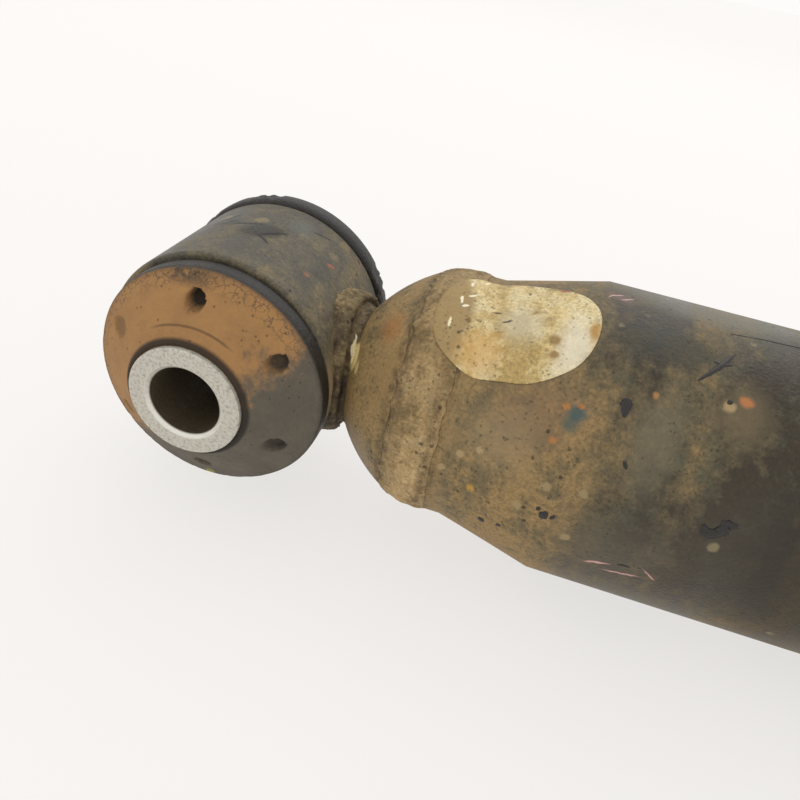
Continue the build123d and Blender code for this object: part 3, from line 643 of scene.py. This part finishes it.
def face_sink(x, y, z, seed):
    # how far the face lies below its smooth shape, in mm
    here = Vector((x, y + seed, z))
    r, a = math.hypot(x, z), math.atan2(z, x)
    sink = 0.12 * noise.noise(here * 0.45) + 0.05 * noise.noise(here * 1.6)
    seam = 0.12 * max(0.0, min(1.0, (z / r - 0.82) * 10))
    sink += seam * math.exp(-((r - SEAM_R) / 0.3) ** 2)
    near_rim = max(0.0, min(1.0, (r - 20.0) / 2.5))
    sink += 0.16 * near_rim * max(0.0, noise.noise(Vector((a * 16, r * 0.8, seed))))
    for angle, depth in FRONT_DIMPLES if y < 0 else BACK_DIMPLES:
        t = math.radians(angle)
        away = math.hypot(x - DIMPLE_CIRCLE * math.cos(t), z - DIMPLE_CIRCLE * math.sin(t))
        ramp = max(0.0, min(1.0, (DIMPLE_R - away) / 0.35))
        sink += depth * ramp * ramp * (3 - 2 * ramp)
    return sink


def rubber_bush(seed):
    front = [(-y, r) for y, r in lip_outline(FRONT_LIP_R)]
    outline = list(reversed(front)) + [(-5.0, FILL_R), (5.0, FILL_R)] + lip_outline(REAR_LIP_R)
    bm = spun(outline, 288, about="Y")
    for v in bm.verts:
        x, y, z = (c / MM for c in v.co)
        r = math.hypot(x, z)
        here = Vector((x, y + seed, z))
        if abs(y) > 20.0 and r > 12.3:
            y -= math.copysign(face_sink(x, y, z, seed), y)
        if y < -LIP_END and r > 21.5:
            share = min(1.0, (r - 21.5) / 1.0)
            x, z = x + 0.45 * share, z - 0.4 * share
        if y > LIP_END and r > 23.5:
            where = max(0.0, min(1.0, noise.noise(here * 0.11 + Vector((3, 1, 2))) * 4 + 0.2))
            torn = where * (0.9 * max(0.0, noise.noise(here * 0.55)) + 0.5 * max(0.0, noise.noise(here * 1.3)))
            x, z = x * (1 - torn / r), z * (1 - torn / r)
        v.co = Vector((x, y, z)) * MM
    return bm


to_upper = Matrix.Translation((LENGTH, 0, 0)) @ Matrix.Rotation(math.pi, 4, "Z")
finished(rubber_bush(0.0), "LowerBushRubber", "damper_body", lower_rubber, "lower_bush_rubber")
bm = rubber_bush(40.0)
bmesh.ops.transform(bm, matrix=to_upper, verts=bm.verts)
finished(bm, "UpperBushRubber", "rod_assembly", upper_rubber, "upper_bush_rubber")

# %% [markdown]
# The stub is welded to the ring all the way round. The seam of a round bar on a round ring is saddle
# shaped, so a fillet is spun about the stub and then bent back to lie on the ring, with a lumpy,
# hand-laid surface from noise.

# %% Eye welds
RING_R = 24.1
STUB_X, STUB_R = 26.1, 12.0             # where the fillet ends on the stub
# the bead's section: places along the stub and distances from its axis
FILLET = [(24.2, 15.4), (24.7, 15.35), (25.2, 14.95), (25.35, 14.4), (25.2, 13.85), (25.0, 13.35),
          (25.2, 12.95), (25.6, 12.75), (STUB_X, 12.9)]


def eye_weld(seed):
    bm = spun(FILLET + [(STUB_X, STUB_R), (23.2, STUB_R), (23.2, 15.2)], 192)
    for v in bm.verts:
        x, y, z = (c / MM for c in v.co)
        r = math.hypot(y, z)
        to_ring = max(0.0, min(1.0, (STUB_X - x) / 1.9))
        drop = RING_R - math.sqrt(max(1.0, RING_R ** 2 - z * z))
        x -= drop * to_ring
        if r > 12.4:
            here = Vector((x, y, z + seed))
            lump = 0.5 * noise.noise(here * 0.55) + 0.26 * noise.noise(here * 1.7)
            y, z, x = y * (1 + lump / r), z * (1 + lump / r), x + 0.5 * lump * (1 if x < 25.8 else 0)
        v.co = Vector((x, y, z)) * MM
    return bm


finished(eye_weld(0.0), "LowerEyeWeld", "damper_body", eye_weld_rust, "lower_eye_weld")
bm = eye_weld(30.0)
bmesh.ops.transform(bm, matrix=to_upper, verts=bm.verts)
finished(bm, "UpperEyeWeld", "rod_assembly", eye_weld_rust, "upper_eye_weld")

# %% [markdown]
# Cap and tube meet in a groove that one pass of weld fills. A machine turns the damper under the
# torch, which leaves an even band with small ripples. Its edges wander by half a millimetre and
# carry crumbs of spatter.

# %% Base weld
BEAD_MIDDLE = 42
# the bead's section: places along the damper and distances from its axis
BEAD = [(37.2, 23.38), (37.9, 23.85), (38.8, 24.3), (39.8, 24.7), (41.0, 25.0), (42.2, 25.2), (43.6, 25.32),
        (45.0, 25.34), (46.0, 25.26), (46.7, 25.12), (47.0, 25.06), (41.5, 23.65)]


def base_weld():
    bm = spun(BEAD, 384)
    for v in bm.verts:
        x, y, z = (c / MM for c in v.co)
        r, a = math.hypot(y, z), math.atan2(z, y)
        middle = max(0.0, 1 - abs(x - 42.1) / 4.9)
        if r > 23.7 or x < 38:
            here = Vector((x, y, z))
            waver = 3 * noise.noise(Vector((y, z, 0)) * 0.2) + (x - BEAD_MIDDLE) ** 2 * 0.1
            ripple = 0.07 * math.sin(a * 70 + waver)
            rough = (0.2 + 0.25 * max(0.0, -z / r)) * noise.noise(here * 0.7) + 0.12 * noise.noise(here * 2.2)
            at_edge = math.exp(-((abs(x - BEAD_MIDDLE) - 3.7) / 0.9) ** 2)
            crumb = 0.34 * max(0.0, noise.noise(here * 1.9)) * at_edge
            lift = (ripple + rough) * min(1.0, middle * 2) + crumb
            y, z = y * (1 + lift / r), z * (1 + lift / r)
            wander = 1.1 * max(0.0, noise.noise(Vector((y, z, 9)) * 0.35))
            x += math.copysign(wander, x - BEAD_MIDDLE) * (1 - middle)
        v.co = Vector((x, y, z)) * MM
    return bm


finished(base_weld(), "BaseWeld", "damper_body", weld_rust, "base_weld")

# %% [markdown]
# A blank oval label is stuck over weld, neck and cone. Any print is long gone: what is left is a
# yellowed film, stained by rust and worn khaki at one end. A grid is pulled into an oval, wrapped
# on the skin, and given the film's thickness.

# %% Label
LABEL_X, LABEL_ANGLE = 54.4, 67.5
HALF_LONG, HALF_WIDE = 14.5, 12.3
FILM = 0.12
UNDER_FILM = 0.14
OVER_WELD = 0.36                        # the film bridges the weld's lumps


def oval(s, t):
    # fuller than an ellipse, with a slightly stepped lower edge
    reach = math.hypot(s, t)
    fuller = 1 + 0.055 * math.sin(2 * math.atan2(t, s)) ** 2 * reach
    wave = 1 + 0.012 * math.sin(9 * math.atan2(t, s)) * reach
    return s * fuller, t * fuller * wave


def label_sheet(cells):
    bm = bmesh.new()
    bmesh.ops.create_grid(bm, x_segments=cells, y_segments=cells, size=1.0)
    for v in bm.verts:
        u, w = v.co.x, v.co.y
        s, t = oval(u * math.sqrt(1 - w * w / 2), w * math.sqrt(1 - u * u / 2))
        x = LABEL_X + s * HALF_LONG
        lift = UNDER_FILM + OVER_WELD * max(0.0, min(1.0, (48.0 - x) / 2.5))
        v.co = on_skin(x, LABEL_ANGLE + math.degrees(t * HALF_WIDE / skin_radius(x)), lift)
    return bm


LABEL_MARKS = [
    (42.5, 66, 5.4, 14, 6, "#93794e", 0.85, 0.6),     # worn khaki end
    (50, 50, 6, 6, 0, "#c79b5a", 0.65, 0.2),         # orange-tan lower left
    (55.4, 66, 6, 6, 0, "#c4bba0", 0.6, 0.2),        # greyish middle
    (65, 60, 5, 10, 0, "#dfd9c6", 0.65, 0.2),         # near white end
    (61.7, 90, 1.4, 1.1, 0, "#a2582f", 0.9, 0.3),
    (59.5, 91, 2.2, 0.8, 0, "#7e7146", 0.8, 0.2),
    (68.2, 68, 1.6, 3.4, 0, "#a87c36", 0.85, 0.2),
    (61.9, 61, 1.5, 1.5, 0, "#8a6a38", 0.85, 0.4),
    (62.4, 55, 1.1, 1.1, 0, "#8f7040", 0.85, 0.4),
    (50.8, 71, 1.2, 0.35, 0, "#3a3024", 0.9, 0.3),
    (53.0, 67, 1.4, 0.35, 20, "#3a3024", 0.9, 0.3),
    (43.2, 60, 0.45, 1.5, 10, "#f0e2b6", 0.95, 0.6),
    (44.9, 70, 1.0, 0.4, 25, "#f0e8cc", 0.95, 0.6),
    (43.9, 73, 0.4, 1.3, 10, "#f0e8cc", 0.95, 0.6),
    (45.6, 77, 1.2, 0.35, 40, "#f0e8cc", 0.95, 0.6),
    (44.8, 85, 0.4, 1.0, 0, "#f0e8cc", 0.95, 0.6),
    (47.2, 90, 1.0, 0.35, 60, "#efe4c4", 0.9, 0.6),
    (46.2, 63, 0.5, 0.7, 0, "#7c6238", 0.9, 0.5),
    (57.5, 73, 1.0, 0.5, 40, "#96793f", 0.8, 0.3),
    (52.0, 60, 2.0, 1.2, 0, "#b08a4c", 0.6, 0.2),
]
label_film = weathered("yellowed_paper_film", "#ae945c", "#d0b983", "#ddcfa6", marks=LABEL_MARKS, rough=0.5,
                       blotch=150.0, cool="#cfc19a")
bm = label_sheet(64)
bmesh.ops.solidify(bm, geom=bm.faces[:], thickness=FILM * MM)
finished(bm, "Label", "damper_body", label_film, "label")

# %% [markdown]
# Tar thrown up by the road dries in glossy black drops, runs and strings. They stand proud of the
# paint, so each is a small real piece: a strip that follows a few places on the skin, domed across
# its width and ragged at the edge.

# %% Dried tar
tar, tar_tree, tar_shader, tar_place = new_material("dried_road_tar")
tar_noise = add(tar_tree, "ShaderNodeTexNoise", {"Vector": tar_place, "Scale": 1400.0, "Detail": 4.0})
tar_colour = add(tar_tree, "ShaderNodeMix", {0: tar_noise, 1: linear("#0d0c0b"), 2: linear("#262019")},
                 data_type="RGBA")
tar_tree.links.new(tar_colour.outputs[2], tar_shader.inputs["Base Color"])
tar_shine = add(tar_tree, "ShaderNodeMapRange", {0: tar_noise, "To Min": 0.22, "To Max": 0.5})
tar_tree.links.new(tar_shine.outputs[0], tar_shader.inputs["Roughness"])

# each run: places along mm, degrees round, half width mm
TAR_RUNS = [
    [(75.6, 45.6, 0.5), (75.7, 44, 1.0), (75.8, 42, 0.7), (75.9, 39.5, 0.35)],
    [(86.0, 58, 0.2), (88.0, 62.5, 0.42), (89.4, 66, 0.5), (91.7, 73, 0.2)],
    [(88.2, 67, 0.15), (89.6, 66.5, 0.4), (91.2, 67.5, 0.2)],
    [(90.8, 83, 0.12), (96.9, 85, 0.2), (102.7, 86, 0.18), (109, 86.5, 0.12)],
    [(93.0, 14, 0.4), (93.9, 11, 0.9), (95.6, 12.5, 0.8), (96.6, 16, 0.9), (98.2, 16.5, 0.35)],
    [(95.5, 17, 0.3), (96.4, 15, 0.8), (96.9, 12, 0.3)],
    [(68.0, -2.5, 0.3), (68.4, -1, 0.8), (68.9, 1.0, 0.3)],
    [(69.6, -1, 0.2), (70.0, 0, 0.35), (70.3, 0.8, 0.2)],
    [(67.0, 0, 0.2), (67.3, 0.8, 0.35), (67.5, 1.6, 0.2)],
    [(58.1, -21, 0.3), (58.5, -20, 0.7), (59.0, -19, 0.3)],
    [(61.4, -18, 0.2), (61.8, -17, 0.4), (62.2, -16.5, 0.2)],
    [(77.9, 26, 0.15), (78.3, 25, 0.35), (78.7, 24, 0.15)],
    [(91.2, 53, 0.2), (91.6, 53.6, 0.45), (92.0, 54, 0.2)],
    [(83.3, -12.5, 0.15), (84.4, -12, 0.3), (85.5, -12, 0.15)],
]


def tar_run(stations, seed):
    bm = bmesh.new()
    bmesh.ops.create_grid(bm, x_segments=24, y_segments=8, size=1.0)
    for v in bm.verts:
        u, w = v.co.x, v.co.y
        step = (u + 1) / 2 * (len(stations) - 1)
        i = min(int(step), len(stations) - 2)
        f = step - i
        f = f * f * (3 - 2 * f)
        (x0, a0, h0), (x1, a1, h1) = stations[i], stations[i + 1]
        x, a, half = x0 + (x1 - x0) * f, a0 + (a1 - a0) * f, h0 + (h1 - h0) * f
        r = skin_radius(x)
        going = Vector((x1 - x0, math.radians(a1 - a0) * r)).normalized()
        half *= math.sqrt(max(0.04, 1 - u ** 8)) * (1 + 0.35 * noise.noise(Vector((u * 5, w * 2, seed))))
        dome = 0.02 + 0.22 * min(1.0, half) * (1 - w * w)
        v.co = on_skin(x - going.y * w * half, a + math.degrees(going.x * w * half / r), dome)
    bmesh.ops.solidify(bm, geom=bm.faces[:], thickness=0.05 * MM)
    return bm


for number, stations in enumerate(TAR_RUNS):
    finished(tar_run(stations, number * 7.0), "Tar" + str(number + 1), "damper_body", tar)

# %% [markdown]
# Under the dust tube a foam buffer waits on the rod. It is cast polyurethane, with waists that let
# it fold up. It shortens as the rod goes in, and here it gets a mesh of its own.

# %% Bump stop
foam = made_finish("cast_polyurethane_foam", "#b8a060", "#d2bd80", 0.0, 0.8, 0.7, 0.12)
FOAM_END = 465.5
FOAM_LENGTH = 42.0
profile = [(0, 9.3), (0, 14.5), (1.0, 16.2), (2.5, 17.0), (6, 18.3), (9, 18.3), (11, 16.9), (13, 15.2), (17, 15.2),
           (19, 17.8), (21, 19.8), (25, 19.8), (27, 18.3), (28.5, 16.7), (31.5, 16.7), (33.5, 19.6), (35, 21.9),
           (41.9, 21.9), (41.9, 9.3)]
bm = spun([(FOAM_END - FOAM_LENGTH + x, r) for x, r in profile], 128)
buffer = finished(bm, "BumpStop", "rod_assembly", foam, "bump_stop")
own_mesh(buffer)

# %% [markdown]
# The damper lies on a plain pale table under large soft lights. The table glows, which keeps the
# shadows as pale as they would be in a bright room.

# %% Table and lights
bm = bmesh.new()
bmesh.ops.create_grid(bm, x_segments=1, y_segments=1, size=4.0)
table_mesh = bpy.data.meshes.new("Table")
bmesh.ops.translate(bm, vec=(0, 0, -0.0342), verts=bm.verts)
bm.to_mesh(table_mesh)
bm.free()
table = bpy.data.objects.new("Table", table_mesh)
bpy.context.scene.collection.objects.link(table)
paper = bpy.data.materials.new("matt_white_table")
paper.use_nodes = True
sockets = paper.node_tree.nodes["Principled BSDF"].inputs
sockets["Base Color"].default_value = linear("#827f7d")
sockets["Emission Color"].default_value = linear("#fffdfb")
sockets["Emission Strength"].default_value = 0.69
sockets["Roughness"].default_value = 0.9
table_mesh.materials.append(paper)

world = bpy.data.worlds.new("SoftRoom")
world.use_nodes = True
sky = world.node_tree.nodes["Background"].inputs
sky["Color"].default_value = linear("#fbfaf8")
sky["Strength"].default_value = 1.02
bpy.context.scene.world = world
AIM = Vector((0.06, 0, 0))
# name, place, size in metres, watts
SOFTBOXES = [("BackSoftbox", (0.15, 0.75, 0.95), 1.0, 2.6), ("FrontSoftbox", (-0.6, -0.7, 0.9), 0.8, 0.5)]
for name, spot, size, power in SOFTBOXES:
    lamp = bpy.data.lights.new(name, "AREA")
    lamp.size, lamp.energy = size, power
    box = bpy.data.objects.new(name, lamp)
    box.location = spot
    box.rotation_euler = (AIM - Vector(spot)).to_track_quat("-Z", "Y").to_euler()
    bpy.context.scene.collection.objects.link(box)
print("lights:", len(SOFTBOXES))

# %% [markdown]
# The camera stands in front of the lower eye and looks down at it. Its three axes are written out,
# so that its view is exact.

# %% Camera
camera = bpy.data.objects.new("Camera", bpy.data.cameras.new("Camera"))
bpy.context.scene.collection.objects.link(camera)
camera.data.lens, camera.data.sensor_width = 32.66, 36.0
camera.data.clip_start, camera.data.clip_end = 0.005, 20.0
right = Vector((0.9504, 0.2658, 0.1614))
up = Vector((-0.2801, 0.5062, 0.8156))
back = Vector((0.1351, -0.8204, 0.5556))
stand = Matrix.Translation(Vector((56.25, -129.21, 81.60)) * MM)
camera.matrix_world = stand @ Matrix((right, up, back)).transposed().to_4x4()
bpy.context.scene.camera = camera
bpy.context.scene.view_settings.view_transform = "Standard"
print("camera at", [round(c, 4) for c in camera.matrix_world.translation])
